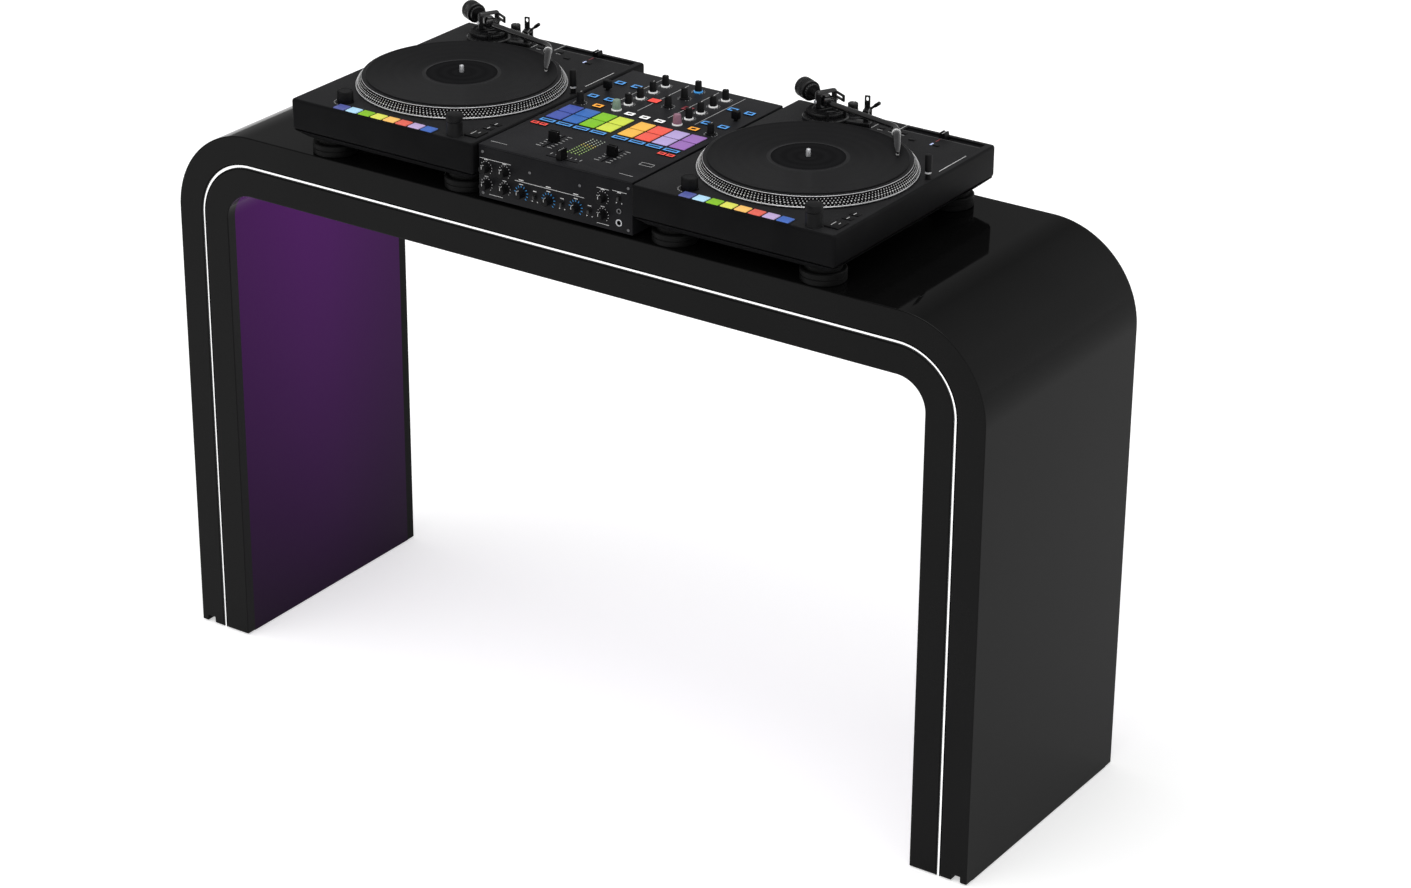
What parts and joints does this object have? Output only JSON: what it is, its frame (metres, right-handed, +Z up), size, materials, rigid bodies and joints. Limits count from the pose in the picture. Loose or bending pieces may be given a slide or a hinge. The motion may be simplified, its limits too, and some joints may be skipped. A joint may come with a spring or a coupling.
{
  "type": "dj booth",
  "caption": "Gloss black arch table with a glowing front line and purple underglow, carrying a pair of record decks with S-shaped tonearms and a scratch mixer.",
  "frame": {"origin": "on the floor, at the middle of the rectangle the booth covers", "axes": "+X along the table to the right as the player sees it, +Y away from the player, +Z up"},
  "size_m": [1.5, 0.463, 1.0415],
  "materials": {
    "gloss_board": "high gloss black lacquer",
    "bare_board": "raw board",
    "glide_pad": "matt",
    "profile_metal": "satin",
    "lit_white": "lit diffuser",
    "lit_purple": "lit diffuser",
    "driver_box": "satin",
    "deck_casing": "satin black",
    "deck_rubber": "matt",
    "motor": "satin",
    "arm_casting": "satin black",
    "pads": "soft, lit in colours",
    "small_controls": "satin",
    "lit_knob": "translucent",
    "light_post": "satin",
    "platter_metal": "turned",
    "vinyl": "grooved",
    "arm_metal": "black anodised",
    "cartridge_shell": "satin",
    "mixer_metal": "fine texture",
    "mixer_rubber": "matt",
    "socket": "satin"
  },
  "bodies": {
    "booth": {"outer_skin": "gloss_board", "inner_skin": "gloss_board", "front_panel_outer": "gloss_board", "front_panel_inner": "gloss_board", "rear_panel": "gloss_board", "rib_frame": "bare_board", "base_plates": "bare_board", "floor_glides": "glide_pad", "led_channel": "profile_metal", "led_diffuser": "lit_white", "underglow_bar": "profile_metal", "underglow_lens": "lit_purple", "led_driver": "driver_box", "deck_plinths": "deck_casing", "deck_base_trays": "deck_rubber", "deck_feet": "deck_rubber", "platter_motors": "motor", "tonearm_bases": "arm_casting", "deck_pad_strips": "pads", "deck_buttons": "small_controls", "target_lights": "light_post", "mixer_case": "mixer_metal", "mixer_top_plate": "mixer_metal", "mixer_front_plate": "mixer_metal", "mixer_feet": "mixer_rubber", "mixer_pads": "pads", "mixer_buttons": "small_controls", "mixer_knobs": "small_controls", "mixer_jacks": "socket"},
    "left_platter_set": {"left_platter": "platter_metal", "left_record": "vinyl"},
    "left_yoke": {"left_arm_yoke": "arm_casting"},
    "left_arm": {"left_tonearm": "arm_metal", "left_cartridge": "cartridge_shell"},
    "left_weight": {"left_counterweight": "arm_casting"},
    "left_antiskate_dial_body": {"left_antiskate_dial": "small_controls"},
    "left_cue_lever_body": {"left_cue_lever": "small_controls"},
    "left_pitch_fader_body": {"left_pitch_fader": "small_controls"},
    "left_start_button_body": {"left_start_button": "small_controls"},
    "left_track_knob_body": {"left_track_knob": "small_controls"},
    "left_power_knob_body": {"left_power_knob": "small_controls"},
    "right_platter_set": {"right_platter": "platter_metal", "right_record": "vinyl"},
    "right_yoke": {"right_arm_yoke": "arm_casting"},
    "right_arm": {"right_tonearm": "arm_metal", "right_cartridge": "cartridge_shell"},
    "right_weight": {"right_counterweight": "arm_casting"},
    "right_antiskate_dial_body": {"right_antiskate_dial": "small_controls"},
    "right_cue_lever_body": {"right_cue_lever": "small_controls"},
    "right_pitch_fader_body": {"right_pitch_fader": "small_controls"},
    "right_start_button_body": {"right_start_button": "small_controls"},
    "right_track_knob_body": {"right_track_knob": "small_controls"},
    "right_power_knob_body": {"right_power_knob": "small_controls"},
    "crossfader_body": {"crossfader": "small_controls"},
    "left_channel_fader_body": {"left_channel_fader": "small_controls"},
    "left_fx_paddle_body": {"left_fx_paddle": "small_controls"},
    "left_loop_knob_body": {"left_loop_knob": "lit_knob"},
    "right_channel_fader_body": {"right_channel_fader": "small_controls"},
    "right_fx_paddle_body": {"right_fx_paddle": "small_controls"},
    "right_loop_knob_body": {"right_loop_knob": "lit_knob"}
  },
  "joints": [
    {"name": "left_platter_spin", "type": "hinge", "parent": "booth", "child": "left_platter_set", "pos_m": [-0.322, -0.0235, 1.0085], "axis": [0, 0, 1], "continuous": true},
    {"name": "left_arm_swing", "type": "hinge", "parent": "booth", "child": "left_yoke", "pos_m": [-0.411, 0.1645, 1.024], "axis": [0, 0, 1], "range_deg": [-20, 32]},
    {"name": "left_arm_lift", "type": "hinge", "parent": "left_yoke", "child": "left_arm", "pos_m": [-0.411, 0.1645, 1.024], "axis": [-0.4695, -0.8829, 0], "range_deg": [0, 10]},
    {"name": "left_counterweight_turn", "type": "hinge", "parent": "left_arm", "child": "left_weight", "pos_m": [-0.411, 0.1645, 1.024], "axis": [0.8829, -0.4695, 0], "continuous": true},
    {"name": "left_antiskate_turn", "type": "hinge", "parent": "booth", "child": "left_antiskate_dial_body", "pos_m": [-0.3875, 0.2052, 1.004], "axis": [0, 0, 1], "range_deg": [0, 270]},
    {"name": "left_cue_lift", "type": "hinge", "parent": "booth", "child": "left_cue_lever_body", "pos_m": [-0.35922, 0.20212, 1.007], "axis": [0, -1, 0], "range_deg": [0, 55]},
    {"name": "left_pitch_slide", "type": "slide", "parent": "booth", "child": "left_pitch_fader_body", "axis": [1, 0, 0], "range_m": [-0.05, 0.05]},
    {"name": "left_start_press", "type": "slide", "parent": "booth", "child": "left_start_button_body", "axis": [0, 0, -1], "range_m": [0, 0.0012], "stiffness_N_per_m": 800, "springref_m": -0.0006},
    {"name": "left_track_turn", "type": "hinge", "parent": "booth", "child": "left_track_knob_body", "pos_m": [-0.419, -0.1925, 0.991], "axis": [0, 0, 1], "continuous": true},
    {"name": "left_power_turn", "type": "hinge", "parent": "booth", "child": "left_power_knob_body", "pos_m": [-0.192, -0.211, 0.991], "axis": [0, 0, 1], "range_deg": [0, 60]},
    {"name": "right_platter_spin", "type": "hinge", "parent": "booth", "child": "right_platter_set", "pos_m": [0.322, -0.0235, 1.0085], "axis": [0, 0, 1], "continuous": true},
    {"name": "right_arm_swing", "type": "hinge", "parent": "booth", "child": "right_yoke", "pos_m": [0.233, 0.1645, 1.024], "axis": [0, 0, 1], "range_deg": [-20, 32]},
    {"name": "right_arm_lift", "type": "hinge", "parent": "right_yoke", "child": "right_arm", "pos_m": [0.233, 0.1645, 1.024], "axis": [-0.4695, -0.8829, 0], "range_deg": [0, 10]},
    {"name": "right_counterweight_turn", "type": "hinge", "parent": "right_arm", "child": "right_weight", "pos_m": [0.233, 0.1645, 1.024], "axis": [0.8829, -0.4695, 0], "continuous": true},
    {"name": "right_antiskate_turn", "type": "hinge", "parent": "booth", "child": "right_antiskate_dial_body", "pos_m": [0.2565, 0.2052, 1.004], "axis": [0, 0, 1], "range_deg": [0, 270]},
    {"name": "right_cue_lift", "type": "hinge", "parent": "booth", "child": "right_cue_lever_body", "pos_m": [0.28478, 0.20212, 1.007], "axis": [0, -1, 0], "range_deg": [0, 55]},
    {"name": "right_pitch_slide", "type": "slide", "parent": "booth", "child": "right_pitch_fader_body", "axis": [1, 0, 0], "range_m": [-0.05, 0.05]},
    {"name": "right_start_press", "type": "slide", "parent": "booth", "child": "right_start_button_body", "axis": [0, 0, -1], "range_m": [0, 0.0012], "stiffness_N_per_m": 800, "springref_m": -0.0006},
    {"name": "right_track_turn", "type": "hinge", "parent": "booth", "child": "right_track_knob_body", "pos_m": [0.225, -0.1925, 0.991], "axis": [0, 0, 1], "continuous": true},
    {"name": "right_power_turn", "type": "hinge", "parent": "booth", "child": "right_power_knob_body", "pos_m": [0.452, -0.211, 0.991], "axis": [0, 0, 1], "range_deg": [0, 60]},
    {"name": "crossfader_slide", "type": "slide", "parent": "booth", "child": "crossfader_body", "axis": [1, 0, 0], "range_m": [-0.0225, 0.0225]},
    {"name": "left_channel_slide", "type": "slide", "parent": "booth", "child": "left_channel_fader_body", "axis": [0, 1, 0], "range_m": [-0.0225, 0.0225]},
    {"name": "left_paddle_rock", "type": "hinge", "parent": "booth", "child": "left_fx_paddle_body", "pos_m": [-0.12028, 0.08652, 0.983], "axis": [1, 0, 0], "range_deg": [-18, 18]},
    {"name": "left_loop_turn", "type": "hinge", "parent": "booth", "child": "left_loop_knob_body", "pos_m": [-0.0566, 0.02067, 0.99], "axis": [0, 0, 1], "continuous": true},
    {"name": "right_channel_slide", "type": "slide", "parent": "booth", "child": "right_channel_fader_body", "axis": [0, 1, 0], "range_m": [-0.0225, 0.0225]},
    {"name": "right_paddle_rock", "type": "hinge", "parent": "booth", "child": "right_fx_paddle_body", "pos_m": [0.12028, 0.08652, 0.983], "axis": [1, 0, 0], "range_deg": [-18, 18]},
    {"name": "right_loop_turn", "type": "hinge", "parent": "booth", "child": "right_loop_knob_body", "pos_m": [0.0566, 0.02067, 0.99], "axis": [0, 0, 1], "continuous": true}
  ]
}
